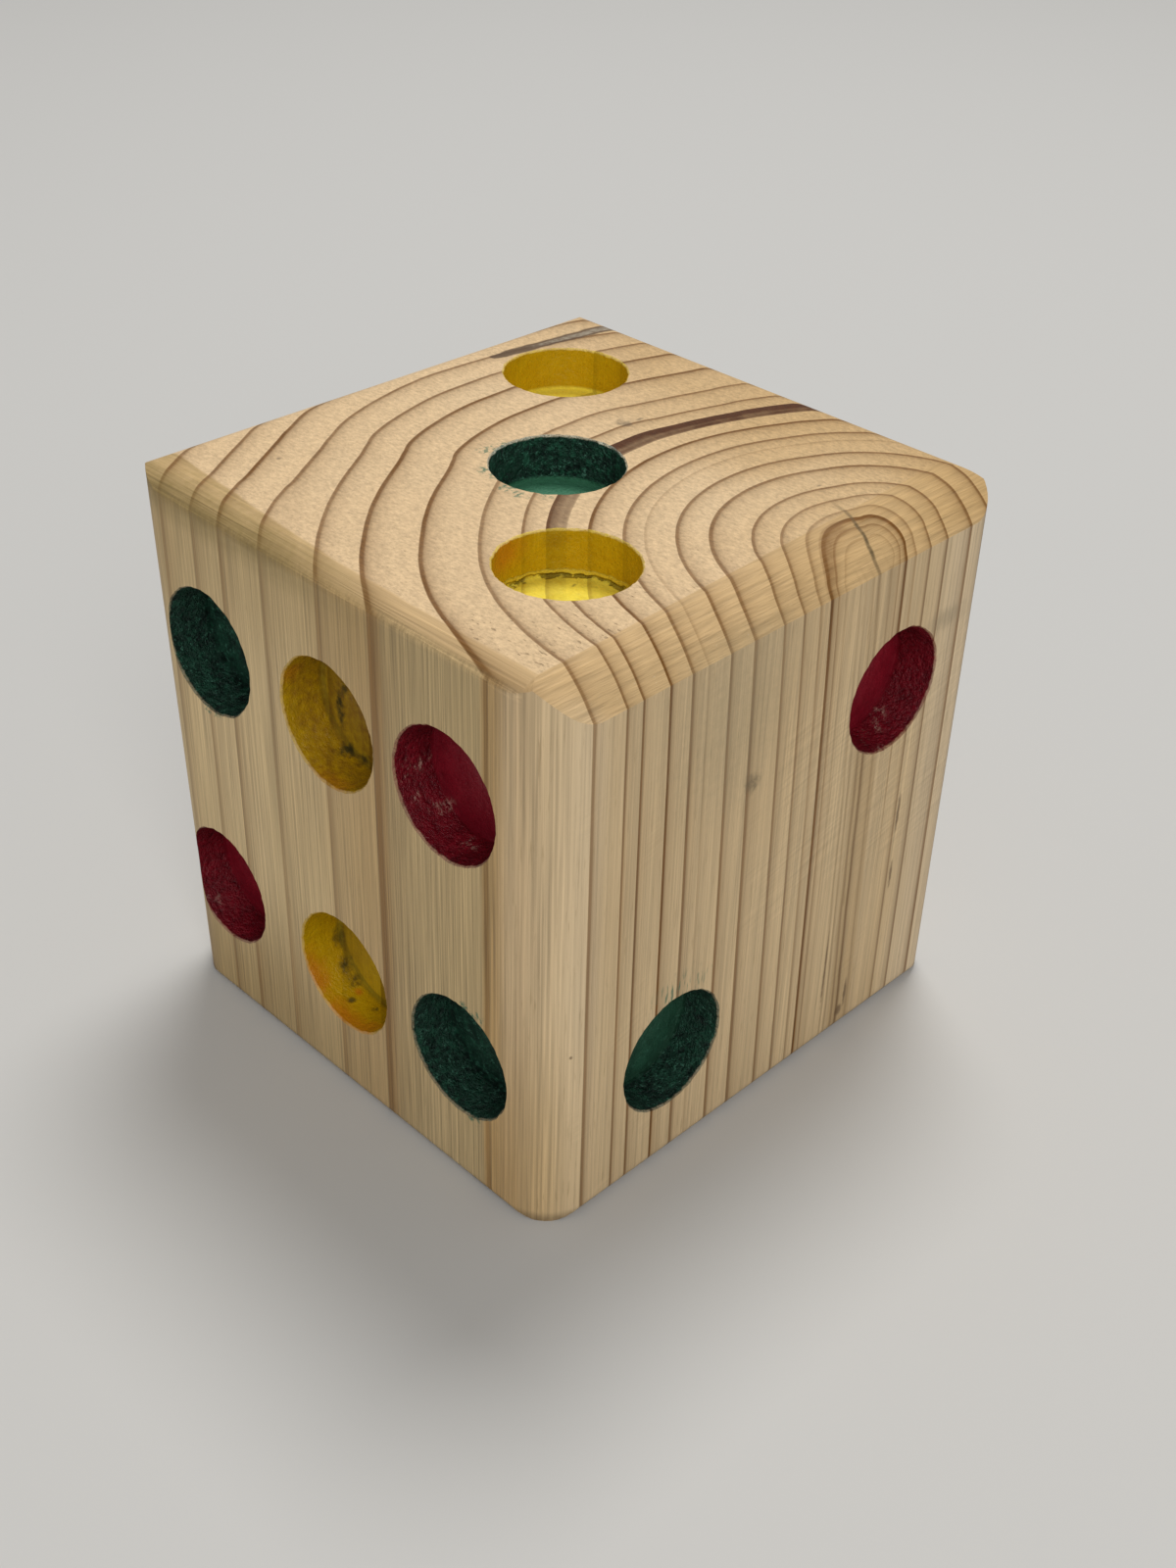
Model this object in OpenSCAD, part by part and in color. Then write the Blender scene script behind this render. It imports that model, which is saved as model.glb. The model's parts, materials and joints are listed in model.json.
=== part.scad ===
// Large wooden die, cut from one length of square pine post.
// Origin: centre of the bottom face. +Z is up, along the grain.
// From the front (-Y) it shows its six; the three is on top and the two is on the +X side.

/* [Block] */
// Width of the block along X, measured across its top
block_w = 87; // [75:0.5:110]
// Depth of the block along Y, the planed width of the post
block_d = 89; // [75:0.5:110]
// Height of the block along Z, the length cut from the post
block_h = 87.5; // [75:0.5:120]
// How far the sawn -X side leans in towards the bottom
lean_in = 3; // [0.5:0.1:5]

/* [Upright edges] */
// Round-over of the front right edge (+X, -Y)
front_right_r = 8; // [1:0.5:10]
// Round-over of the back right edge (+X, +Y)
back_right_r = 7; // [1:0.5:10]
// Round-over of the back left edge (-X, +Y)
back_left_r = 7; // [1:0.5:10]
// Round-over of the front left edge (-X, -Y)
front_left_r = 9; // [1:0.5:10]

/* [Sanded band along the top edge on the +X side] */
// Width of the band on the top at its front end
band_front_in = 5.6; // [2:0.1:8]
// Drop of the band down the side at its front end
band_front_down = 6.7; // [3:0.1:8]
// Width of the band on the top at its back end, where more was sanded away
band_back_in = 9.5; // [4:0.1:10]
// Drop of the band down the side at its back end
band_back_down = 5; // [4:0.1:8]
// Radius of the band's crown
band_r = 14; // [13:0.5:20]

/* [Other top and bottom edges] */
// Width of the narrow band along the -Y top edge, measured on the top
front_band_in = 3.1; // [1:0.1:6]
// Drop of the narrow band down the -Y side
front_band_down = 2.1; // [1:0.1:5]
// Round-over of the top edge on the -X side
top_left_r = 5; // [1:0.5:8]
// Round-over of the top edge on the +Y side
top_back_r = 4; // [1:0.5:8]
// Round-over of all four bottom edges
bottom_r = 2; // [1:0.5:4]

/* [Pips] */
// Diameter of every drilled pip, a 3/4 inch bit that wandered a little
pip_d = 19.3; // [12:0.1:23]
// Depth of every pip below its face
pip_depth = 7; // [3:0.5:9]
// Spacing of the pips along a diagonal, and of the two rows of the six
pip_pitch = 22; // [18:0.5:24]
// Spacing of the three columns of the six
six_pitch = 26.5; // [20:0.5:28]

/* [Hidden] */
$fn = 96;

// A sanded round-over is a little flatter than a true quarter round, so its radius is this much more
FLATTEN = 1.06;
// How far a cutter reaches past the surface it cuts
OVER = 1;

mid_h = block_h / 2;
// Height at which the sawn side starts, below its top round-over; the block is widest there
sawn_top = block_h - top_left_r;
lean_angle = atan(lean_in / sawn_top);

// Pip layouts in steps of the pitch, from the centre of a face
ONE = [[0, 0]];
TWO = [[1, 1], [-1, -1]];
THREE = [[-1, 1], [0, 0], [1, -1]];
FOUR = [for (u = [-1, 1], v = [-1, 1]) [u, v]];
FIVE = concat(FOUR, ONE);
SIX = [for (v = [1, -1], u = [-1, 0, 1]) [u, v]];

// How far the drill wandered from the marked layout, pip by pip, in mm
TWO_DRIFT = [[0.5, -4.5], [2, -2]];
THREE_DRIFT = [[-2.5, 1.5], [-1.5, -0.5], [-1.5, 2]];
SIX_DRIFT = [[0.5, -2], [0.5, -1.5], [-2.5, -1], [-1, 0], [1, 0], [-0.5, 0.5]];
NO_DRIFT = [for (pip = FIVE) [0, 0]];

// Centre of the arc of radius r that meets the X axis at a and the Y axis at b
function arc_centre(a, b, r) =
    let (chord = norm([a, b]), inward = sqrt(r * r - chord * chord / 4))
    [a / 2 + inward * b / chord, b / 2 + inward * a / chord];

// Cutter for the corner of a flat outline at the origin, with the material towards +X and +Y
module corner_cut(a, b, r) {
    centre = arc_centre(a, b, r);
    difference() {
        translate([-OVER, -OVER]) square(centre + [OVER, OVER]);
        translate(centre) circle(r);
    }
}

// The same cutter for a near quarter round
module round_cut(r) {
    corner_cut(r, r, r * FLATTEN);
}

// Plan outline with the two right-hand upright edges; it runs on past the left side
module right_plan() {
    difference() {
        translate([-block_w, -block_d / 2]) square([block_w * 1.5, block_d]);
        translate([block_w / 2, -block_d / 2]) mirror([1, 0]) round_cut(front_right_r);
        translate([block_w / 2, block_d / 2]) rotate(180) round_cut(back_right_r);
    }
}

// Plan outline with the two left-hand upright edges, and the sawn side on the Y axis
module left_plan() {
    difference() {
        translate([0, -block_d / 2]) square([block_w * 1.5, block_d]);
        translate([0, -block_d / 2]) round_cut(front_left_r);
        translate([0, block_d / 2]) mirror([0, 1]) round_cut(back_left_r);
    }
}

// Profile seen from the front, without the band on the +X side
module front_profile() {
    difference() {
        translate([-block_w / 2 - OVER, 0]) square([block_w + OVER, block_h]);
        translate([block_w / 2, 0]) mirror([1, 0]) round_cut(bottom_r);
        translate([-block_w / 2, block_h]) mirror([0, 1]) round_cut(top_left_r);
        translate([-block_w / 2 + lean_in, 0]) round_cut(bottom_r);
    }
}

// Profile seen from the +X side
module side_profile() {
    front_band_r = (front_band_in + front_band_down) * 0.7;
    difference() {
        translate([-block_d / 2, 0]) square([block_d, block_h]);
        translate([-block_d / 2, block_h]) mirror([0, 1])
            corner_cut(front_band_in, front_band_down, front_band_r);
        translate([block_d / 2, block_h]) rotate(180) round_cut(top_back_r);
        translate([-block_d / 2, 0]) round_cut(bottom_r);
        translate([block_d / 2, 0]) mirror([1, 0]) round_cut(bottom_r);
    }
}

// Turns what follows so that +Z leans over with the sawn side, about its top edge
module on_sawn_side() {
    translate([-block_w / 2, 0, sawn_top]) rotate([0, -lean_angle, 0]) children();
}

// Cutter for the sanded band on the +X side: a bar with a long round core taken out of it.
// The core runs askew, so that the band is wider on the top at the back than at the front.
module band_cut() {
    front = arc_centre(band_front_in, band_front_down, band_r);
    back = arc_centre(band_back_in, band_back_down, band_r);
    run = [front[0] - back[0], block_d, front[1] - back[1]];
    reach_in = min(front[0], back[0]);
    reach_down = min(front[1], back[1]);
    translate([block_w / 2, 0, block_h]) difference() {
        translate([-reach_in, -block_d, -reach_down])
            cube([reach_in + OVER, block_d * 2, reach_down + OVER]);
        translate([-(front[0] + back[0]) / 2, 0, -(front[1] + back[1]) / 2])
            rotate([-90 + atan(run[2] / run[1]), 0, -atan(run[0] / run[1])])
                cylinder(r = band_r, h = block_d * 3, center = true);
    }
}

// The shaped block before drilling: outlines extruded along all three axes and crossed,
// so that the edges meet in mitred corners, as they do when one edge is sanded at a time
module blank() {
    difference() {
        intersection() {
            linear_extrude(block_h) right_plan();
            on_sawn_side() translate([0, 0, -block_h * 1.1]) linear_extrude(block_h * 1.3) left_plan();
            rotate([90, 0, 0]) linear_extrude(block_d * 1.1, center = true) front_profile();
            rotate([90, 0, 90]) linear_extrude(block_w * 1.1, center = true) side_profile();
        }
        band_cut();
    }
}

// Drill cutters for one face, which looks along +Z with its centre at the origin
module pips(layout, drift, pitch_u) {
    for (i = [0 : len(layout) - 1])
        translate([layout[i][0] * pitch_u + drift[i][0], layout[i][1] * pip_pitch + drift[i][1], -pip_depth])
            cylinder(d = pip_d, h = pip_depth + OVER);
}

// All twenty-one pips; opposite faces add up to seven
module drilling() {
    translate([0, 0, block_h]) pips(THREE, THREE_DRIFT, pip_pitch);
    rotate([180, 0, 0]) pips(FOUR, NO_DRIFT, pip_pitch);
    translate([0, -block_d / 2, mid_h]) rotate([90, 0, 0]) pips(SIX, SIX_DRIFT, six_pitch);
    translate([0, block_d / 2, mid_h]) rotate([90, 0, 180]) pips(ONE, NO_DRIFT, pip_pitch);
    translate([block_w / 2, 0, mid_h]) rotate([90, 0, 90]) pips(TWO, TWO_DRIFT, pip_pitch);
    on_sawn_side() translate([0, 0, mid_h - sawn_top]) rotate([90, 0, -90]) pips(FIVE, NO_DRIFT, pip_pitch);
}

module block() {
    color("burlywood") difference() {
        blank();
        drilling();
    }
}

block();
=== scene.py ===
"""Looks of the wooden die: a block of pine with sanded edges and drilled, painted pips.

Distances are in millimetres, and M turns them into metres where an object is made. The front is
-Y, the right side is +X and the grain runs along Z. Colours are in linear light.
"""

import json
import math

import bmesh
import bpy
import numpy as np
from mathutils import Matrix, Vector, noise


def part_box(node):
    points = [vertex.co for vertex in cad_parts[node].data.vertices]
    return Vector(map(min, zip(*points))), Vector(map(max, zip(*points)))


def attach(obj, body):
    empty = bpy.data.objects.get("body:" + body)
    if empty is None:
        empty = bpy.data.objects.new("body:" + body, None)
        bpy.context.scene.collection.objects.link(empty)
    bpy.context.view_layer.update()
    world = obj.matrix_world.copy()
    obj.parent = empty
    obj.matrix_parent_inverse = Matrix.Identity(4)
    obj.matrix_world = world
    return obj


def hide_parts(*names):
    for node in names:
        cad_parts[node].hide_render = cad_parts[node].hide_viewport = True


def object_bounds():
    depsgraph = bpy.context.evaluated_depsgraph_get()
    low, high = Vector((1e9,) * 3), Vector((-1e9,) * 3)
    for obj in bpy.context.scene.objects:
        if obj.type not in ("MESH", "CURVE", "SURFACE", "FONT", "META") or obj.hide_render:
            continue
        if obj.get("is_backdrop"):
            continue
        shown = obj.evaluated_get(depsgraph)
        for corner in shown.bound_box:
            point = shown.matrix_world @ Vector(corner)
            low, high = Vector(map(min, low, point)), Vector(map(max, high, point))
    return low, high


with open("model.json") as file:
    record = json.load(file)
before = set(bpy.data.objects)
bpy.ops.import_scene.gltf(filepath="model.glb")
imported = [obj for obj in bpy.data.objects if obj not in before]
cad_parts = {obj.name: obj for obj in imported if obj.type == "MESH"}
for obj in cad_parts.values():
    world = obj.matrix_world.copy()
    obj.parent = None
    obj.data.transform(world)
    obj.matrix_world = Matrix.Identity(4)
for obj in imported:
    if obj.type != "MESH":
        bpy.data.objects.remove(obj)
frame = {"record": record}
CAD_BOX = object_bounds()

M = 0.001

# The block, as in part.scad: its box, and the sawn left side that leans in towards the bottom
LO, HI = (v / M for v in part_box("block"))
LEAN_IN = 3.0
TOP_LEFT_R = 5.0
SAWN_TOP = HI.z - TOP_LEFT_R
LEAN = math.atan(LEAN_IN / SAWN_TOP)

# Its other edges; for a band, how far it reaches along the top and down the side
FRONT_RIGHT_R = 8.0
BACK_RIGHT_R = 7.0
FRONT_LEFT_R = 9.0
BACK_LEFT_R = 7.0
TOP_BACK_R = 4.0
BOTTOM_R = 2.0
RIGHT_BAND_FRONT = (5.6, 6.7)
RIGHT_BAND_BACK = (9.5, 5.0)
RIGHT_BAND_R = 14.0
FRONT_BAND = (3.1, 2.1)
FRONT_BAND_R = 3.64

# A sanded round-over is a little flatter than a true quarter round, so its radius is this much more
FLATTEN = 1.06
# Size of the cells that the flat faces are sliced into
CELL = 2.5

# The pips, and the paint in each in the order of the record's openings
PIP_R = 9.65
PIP_DEPTH = 7.0
PAINT = {
    "top": ["yellow", "green", "yellow"],
    "front": ["green", "yellow", "red", "red", "yellow", "green"],
    "right": ["red", "green"],
    "back": ["red"],
    "left": ["yellow", "red", "green", "yellow", "red"],
    "bottom": ["green", "red", "yellow", "green"],
}
# The faces whose pips are made finer, because the camera sees them
SEEN = ("top", "front", "right")

# How far the drill and the brush left a pip from a true bore
RIM = 0.28
FLOOR_WAVE = 0.12
FLOOR_GRIT = 0.07
FLOOR_FILLET = 0.6
WALL_WAVE = 0.05
WALL_GRIT = 0.07
LIP_WAVE = 0.16
LIP_DEPTH = 0.8

# Facets round a pip and rows across its floor and wall; a seen pip has more
AROUND_SEEN = 110
AROUND_HIDDEN = 72
FLOOR_ROWS = 9
WALL_ROWS = 6


# ---------------------------------------------------------------- shape of the block

def sawn_x(z):
    """Where the sawn side is at a height."""
    return LO.x + (SAWN_TOP - z) * math.tan(LEAN)


def arc_centre(a, b, r):
    """Centre of the arc of radius r that meets one face at a and the other at b."""
    chord = math.hypot(a, b)
    inward = math.sqrt(r * r - chord * chord / 4)
    return a / 2 + inward * b / chord, b / 2 + inward * a / chord


def edge_planes(start, end, along_a, along_b, first, last, r, steps):
    """Planes tangent to the round-over of one edge, from start to end.

    along_a and along_b point from the edge into the two faces; first and last are how far the
    round-over reaches along them at the two ends.
    """
    centres = []
    for corner, (a, b) in ((start, first), (end, last)):
        u, v = arc_centre(a, b, r)
        centres.append(corner + along_a * u + along_b * v)
    axis = (centres[1] - centres[0]).normalized()
    a, b = ((first[i] + last[i]) / 2 for i in (0, 1))
    u, v = arc_centre(a, b, r)
    t0 = math.atan2(-v, a - u)
    t1 = math.atan2(b - v, -u)
    if t1 > t0:
        t1 -= 2 * math.pi
    for i in range(steps):
        t = t0 + (t1 - t0) * (i + 0.5) / steps
        n = along_a * math.cos(t) + along_b * math.sin(t)
        n = (n - axis * n.dot(axis)).normalized()
        yield centres[0] + n * r, n


def blank_planes():
    """Every cut that makes the blank from its box, as (point, outward normal)."""
    x, y, z = Vector((1, 0, 0)), Vector((0, 1, 0)), Vector((0, 0, 1))
    inward = Vector((math.cos(LEAN), 0, math.sin(LEAN)))
    yield Vector((LO.x, 0, SAWN_TOP)), -inward

    def corner(i, j, k):
        return Vector((HI.x if i else LO.x, HI.y if j else LO.y, HI.z if k else LO.z))

    def near_round(start, end, along_a, along_b, r, steps):
        return edge_planes(start, end, along_a, along_b, (r, r), (r, r), r * FLATTEN, steps)

    # top edges: right, front, left and back
    yield from edge_planes(corner(1, 0, 1), corner(1, 1, 1), -x, -z,
                           RIGHT_BAND_FRONT, RIGHT_BAND_BACK, RIGHT_BAND_R, steps=9)
    yield from edge_planes(corner(0, 0, 1), corner(1, 0, 1), y, -z,
                           FRONT_BAND, FRONT_BAND, FRONT_BAND_R, steps=8)
    yield from near_round(corner(0, 0, 1), corner(0, 1, 1), x, -z, TOP_LEFT_R, steps=10)
    yield from near_round(corner(0, 1, 1), corner(1, 1, 1), -y, -z, TOP_BACK_R, steps=10)

    # bottom edges: front, back, right and left
    yield from near_round(corner(0, 0, 0), corner(1, 0, 0), y, z, BOTTOM_R, steps=5)
    yield from near_round(corner(0, 1, 0), corner(1, 1, 0), -y, z, BOTTOM_R, steps=5)
    yield from near_round(corner(1, 0, 0), corner(1, 1, 0), -x, z, BOTTOM_R, steps=5)
    foot = LO.x + LEAN_IN
    yield from near_round(Vector((foot, LO.y, 0)), Vector((foot, HI.y, 0)), x, z, BOTTOM_R, steps=5)

    # upright edges: front right, back right, front left and back left
    yield from near_round(corner(1, 0, 0), corner(1, 0, 1), -x, y, FRONT_RIGHT_R, steps=12)
    yield from near_round(corner(1, 1, 0), corner(1, 1, 1), -x, -y, BACK_RIGHT_R, steps=12)
    for along, wall, r in ((y, LO.y, FRONT_LEFT_R), (-y, HI.y, BACK_LEFT_R)):
        bottom, top = (Vector((sawn_x(k), wall, k)) for k in (LO.z, HI.z))
        yield from near_round(bottom, top, inward, along, r, steps=12)


def cut(bm, point, normal, keep_all=False):
    """Cuts the mesh along a plane, and takes off and closes its outer part unless keep_all is true."""
    geom = bm.verts[:] + bm.edges[:] + bm.faces[:]
    made = bmesh.ops.bisect_plane(bm, geom=geom, plane_co=point, plane_no=normal, dist=1e-5,
                                  clear_outer=not keep_all)
    if not keep_all:
        edges = [e for e in made["geom_cut"] if isinstance(e, bmesh.types.BMEdge)]
        if edges:
            bmesh.ops.contextual_create(bm, geom=edges)


def finished_mesh(bm, name):
    """The mesh of a closed shape, with its normals outwards."""
    bmesh.ops.recalc_face_normals(bm, faces=bm.faces[:])
    mesh = bpy.data.meshes.new(name)
    bm.to_mesh(mesh)
    bm.free()
    return mesh


def blank_mesh():
    """The shaped block before drilling, sliced into cells."""
    bm = bmesh.new()
    middle = Matrix.Translation((LO + HI) / 2)
    size = Matrix.Diagonal((*(HI - LO), 1))
    bmesh.ops.create_cube(bm, size=1, matrix=middle @ size)
    for point, normal in blank_planes():
        cut(bm, point, normal)
    for axis in range(3):
        n = Vector((0, 0, 0))
        n[axis] = 1
        for i in range(1, round((HI[axis] - LO[axis]) / CELL)):
            cut(bm, LO + n * CELL * i, n, keep_all=True)
    return finished_mesh(bm, "block")


# ---------------------------------------------------------------- pips

def pips():
    """(face, paint, matrix) of every pip; the matrix puts +Z out of the face, with the rim at z = 0."""
    turn = {
        "top": Matrix.Identity(3),
        "bottom": Matrix.Rotation(math.pi, 3, "X"),
        "front": Matrix.Rotation(math.pi / 2, 3, "X"),
        "back": Matrix.Rotation(-math.pi / 2, 3, "X"),
        "right": Matrix.Rotation(math.pi / 2, 3, "Y"),
        "left": Matrix.Rotation(-math.pi / 2 - LEAN, 3, "Y"),
    }
    on_face = {
        "top": lambda c: Vector((c.x, c.y, HI.z)),
        "bottom": lambda c: Vector((c.x, c.y, LO.z)),
        "front": lambda c: Vector((c.x, LO.y, c.z)),
        "back": lambda c: Vector((c.x, HI.y, c.z)),
        "right": lambda c: Vector((HI.x, c.y, c.z)),
        "left": lambda c: Vector((sawn_x(c.z), c.y, c.z)),
    }
    for opening in frame["record"]["physics"]["openings"]:
        face, _, number = opening["name"].split("_")
        low, high = (Vector(p) / M for p in opening["box_m"])
        centre = on_face[face]((low + high) / 2)
        yield face, PAINT[face][int(number) - 1], Matrix.Translation(centre) @ turn[face].to_4x4()


def drill_profile(fine):
    """(radius, height) of each ring of a drill cutter: its floor, wall, worn rim and cap."""
    floor_rows = FLOOR_ROWS * fine
    wall_rows = WALL_ROWS * fine
    floor = [(PIP_R * (i / floor_rows), -PIP_DEPTH) for i in range(1, floor_rows)]
    wall = [(PIP_R, -PIP_DEPTH * (1 - i / wall_rows)) for i in range(wall_rows - 1)]
    rim = [(PIP_R, -RIM), (PIP_R + RIM * 0.35, -RIM * 0.4), (PIP_R + RIM, 0.05)]
    cap = [(PIP_R + RIM + 0.5, 0.8)]
    return floor + wall + rim + cap


def drill(bm, matrix, seed, around, fine):
    """Adds one drill cutter, a little uneven, and gives its faces."""
    profile = drill_profile(fine)
    offset = Vector((seed * 7.3, seed * 3.1, seed * 5.7))

    def place(r, z, t):
        p = Vector((r * math.cos(t), r * math.sin(t), z))
        coarse = noise.noise(p * 0.35 + offset)
        rough = noise.fractal(p * 1.4 + offset, 0.8, 2.1, 4)
        if z <= -PIP_DEPTH + 0.01:
            edge = min(1.0, (PIP_R - r) / FLOOR_FILLET)
            p.z += edge * (FLOOR_WAVE * coarse + FLOOR_GRIT * rough) + (1 - edge) * FLOOR_WAVE
        else:
            lip = max(0.0, 1 + z / LIP_DEPTH) if z < 0 else 1.0
            grow = WALL_WAVE * coarse + WALL_GRIT * rough - WALL_WAVE
            grow += lip * LIP_WAVE * noise.noise(Vector((math.cos(t), math.sin(t), 0)) * 9 + offset)
            p.x += grow * math.cos(t)
            p.y += grow * math.sin(t)
        return matrix @ p

    rows = []
    for r, z in profile:
        rows.append([bm.verts.new(place(r, z, 2 * math.pi * j / around)) for j in range(around)])
    ends = [bm.verts.new(matrix @ Vector((0, 0, z))) for z in (-PIP_DEPTH, profile[-1][1])]
    faces = []
    for low, high in zip(rows, rows[1:]):
        for j in range(around):
            k = (j + 1) % around
            faces.append(bm.faces.new((low[j], low[k], high[k], high[j])))
    for j in range(around):
        k = (j + 1) % around
        faces.append(bm.faces.new((ends[0], rows[0][k], rows[0][j])))
        faces.append(bm.faces.new((ends[1], rows[-1][j], rows[-1][k])))
    return faces


def drills_mesh():
    """All the drill cutters, each with the material of its paint."""
    bm = bmesh.new()
    for seed, (face, paint, matrix) in enumerate(pips()):
        seen = face in SEEN
        around = AROUND_SEEN if seen else AROUND_HIDDEN
        faces = drill(bm, matrix, seed + 1, around, fine=2 if seen else 1)
        for f in faces:
            f.material_index = 1 + ["green", "yellow", "red"].index(paint)
    return finished_mesh(bm, "drills")


def linked(name, data):
    """A new object in the scene."""
    obj = bpy.data.objects.new(name, data)
    bpy.context.scene.collection.objects.link(obj)
    return obj


def pip_attributes(mesh):
    """Stores, on every vertex in a pip, where it is in that pip: across, down and depth, and a seed."""
    co = np.empty(len(mesh.vertices) * 3)
    mesh.vertices.foreach_get("co", co)
    co = co.reshape(-1, 3)
    place = np.zeros_like(co)
    seeds = np.zeros(len(co))
    for seed, (_, _, matrix) in enumerate(pips()):
        inverse = np.array(matrix.inverted())
        local = co @ inverse[:3, :3].T + inverse[:3, 3]
        near = np.hypot(local[:, 0], local[:, 1]) < PIP_R + 1
        inside = near & (local[:, 2] < 0.3) & (local[:, 2] > -PIP_DEPTH - 1)
        place[inside] = local[inside]
        seeds[inside] = seed + 1
    mesh.attributes.new("pip_place", "FLOAT_VECTOR", "POINT").data.foreach_set("vector", place.ravel())
    mesh.attributes.new("pip_seed", "FLOAT", "POINT").data.foreach_set("value", seeds)


def make_die(materials):
    """The blank with its pips drilled."""
    block = linked("die", blank_mesh())
    drills = linked("drills", drills_mesh())
    for material in materials:
        block.data.materials.append(material)
        drills.data.materials.append(material)
    bore = block.modifiers.new("bore", "BOOLEAN")
    bore.operation = "DIFFERENCE"
    bore.solver = "MANIFOLD"
    bore.object = drills
    depsgraph = bpy.context.evaluated_depsgraph_get()
    mesh = bpy.data.meshes.new_from_object(block.evaluated_get(depsgraph), depsgraph=depsgraph)
    block.modifiers.clear()
    block.data = mesh
    bpy.data.objects.remove(drills)
    pip_attributes(mesh)
    mesh.transform(Matrix.Scale(M, 4))
    mesh.shade_smooth()
    mesh.set_sharp_from_angle(angle=math.radians(16))
    return block


# ---------------------------------------------------------------- nodes

class Num:
    """A value worked out by a material's nodes, for use in ordinary sums."""

    def __init__(self, graph, socket):
        self.graph = graph
        self.socket = socket

    def __add__(self, other):
        return self.graph.math("ADD", self, other)

    def __sub__(self, other):
        return self.graph.math("SUBTRACT", self, other)

    def __rsub__(self, other):
        return self.graph.math("SUBTRACT", other, self)

    def __mul__(self, other):
        return self.graph.math("MULTIPLY", self, other)

    def __truediv__(self, other):
        return self.graph.math("DIVIDE", self, other)

    __radd__ = __add__
    __rmul__ = __mul__


class Graph:
    """The nodes of one material or node group. Lengths are in millimetres."""

    def __init__(self, tree):
        self.tree = tree
        self.tree.nodes.clear()
        coordinates = self.tree.nodes.new("ShaderNodeTexCoord")
        self.place = self.scaled(Num(self, coordinates.outputs["Object"]), (1 / M,) * 3)
        self.normal = Num(self, coordinates.outputs["Normal"])
        self.ragged = self.noise(1.1, detail=2)

    def add(self, kind, inputs, out=0, **settings):
        """A new node, with its inputs linked or set; gives one of its outputs."""
        node = self.tree.nodes.new(kind)
        for name, value in settings.items():
            setattr(node, name, value)
        for key, value in inputs.items():
            if isinstance(value, Num):
                self.tree.links.new(value.socket, node.inputs[key])
            else:
                node.inputs[key].default_value = value
        return Num(self, node.outputs[out])

    def math(self, operation, a, b=0.0, clamp=False):
        return self.add("ShaderNodeMath", {0: a, 1: b}, operation=operation, use_clamp=clamp)

    def clamp(self, a):
        return self.math("ADD", a, 0.0, clamp=True)

    def scaled(self, vector, by):
        return self.add("ShaderNodeVectorMath", {0: vector, 1: by}, operation="MULTIPLY")

    def moved(self, vector, by):
        return self.add("ShaderNodeVectorMath", {0: vector, 1: by}, operation="ADD")

    def length(self, vector):
        return self.add("ShaderNodeVectorMath", {0: vector}, out=1, operation="LENGTH")

    def split(self, vector):
        node = self.tree.nodes.new("ShaderNodeSeparateXYZ")
        self.tree.links.new(vector.socket, node.inputs[0])
        return [Num(self, output) for output in node.outputs]

    def vector(self, x, y, z):
        return self.add("ShaderNodeCombineXYZ", {0: x, 1: y, 2: z})

    def rise(self, value, low, high):
        """0 below low, 1 above high and smooth between; with low above high it falls instead."""
        if low > high:
            return 1.0 - self.rise(value, high, low)
        return self.add("ShaderNodeMapRange", {0: value, 1: low, 2: high}, interpolation_type="SMOOTHSTEP")

    def band(self, value, low, high, soft):
        """1 between low and high, and 0 more than soft outside them."""
        return self.rise(value, low - soft, low) * self.rise(value, high + soft, high)

    def noise(self, size, stretch=(1, 1, 1), detail=2.0, rough=0.5, place=None, shift=0.0):
        """Noise about -1 to 1, with lumps about size across."""
        spread = self.scaled(place or self.place, tuple(1 / s for s in stretch))
        if shift:
            spread = self.moved(spread, (shift, shift * 0.7, -shift * 1.3))
        value = self.add("ShaderNodeTexNoise", {"Vector": spread, "Scale": 1 / size, "Detail": detail,
                                                "Roughness": rough})
        return (value - 0.5) * 2.6

    def curve(self, value, points, handle="AUTO"):
        """The line through the points, flat beyond its ends."""
        xs, ys = zip(*points)
        x0, x1, y0, y1 = xs[0], xs[-1], min(ys), max(ys)
        node = self.tree.nodes.new("ShaderNodeFloatCurve")
        node.mapping.extend = "HORIZONTAL"
        line = node.mapping.curves[0].points
        unit = [((px - x0) / (x1 - x0), (py - y0) / (y1 - y0)) for px, py in points]
        line[0].location = unit[0]
        line[1].location = unit[-1]
        for between in unit[1:-1]:
            line.new(*between)
        for point in line:
            point.handle_type = handle
        node.mapping.update()
        self.tree.links.new(((value - x0) * (1 / (x1 - x0))).socket, node.inputs["Value"])
        return Num(self, node.outputs[0]) * (y1 - y0) + y0

    def mix(self, amount, a, b, how="MIX"):
        """One colour going over to another; how is the blend."""
        a, b = (v if isinstance(v, Num) else (*v, 1.0) for v in (a, b))
        return self.add("ShaderNodeMix", {0: amount, 6: a, 7: b}, out=2, data_type="RGBA", blend_type=how)

    def spot(self, centre, reach, soft=0.5, ragged=0.25):
        """1 in an oval about centre, falling to 0 at its reach, with a ragged edge."""
        away = self.moved(self.place, tuple(-c for c in centre))
        d = self.length(self.scaled(away, tuple(1 / r for r in reach)))
        return self.rise(self.ragged * ragged + d, 1.0, 1.0 - soft)

    def shader(self, colour, rough, height, specular, coat=0.0):
        """The material's surface."""
        bump = self.add("ShaderNodeBump", {"Height": height, "Distance": M, "Strength": 1.0})
        node = self.tree.nodes.new("ShaderNodeBsdfPrincipled")
        node.inputs["Specular IOR Level"].default_value = specular
        node.inputs["Coat Weight"].default_value = coat
        node.inputs["Coat Roughness"].default_value = 0.35
        for name, value in (("Base Color", colour), ("Roughness", rough), ("Normal", bump)):
            self.tree.links.new(value.socket, node.inputs[name])
        output = self.tree.nodes.new("ShaderNodeOutputMaterial")
        self.tree.links.new(node.outputs[0], output.inputs["Surface"])


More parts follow.
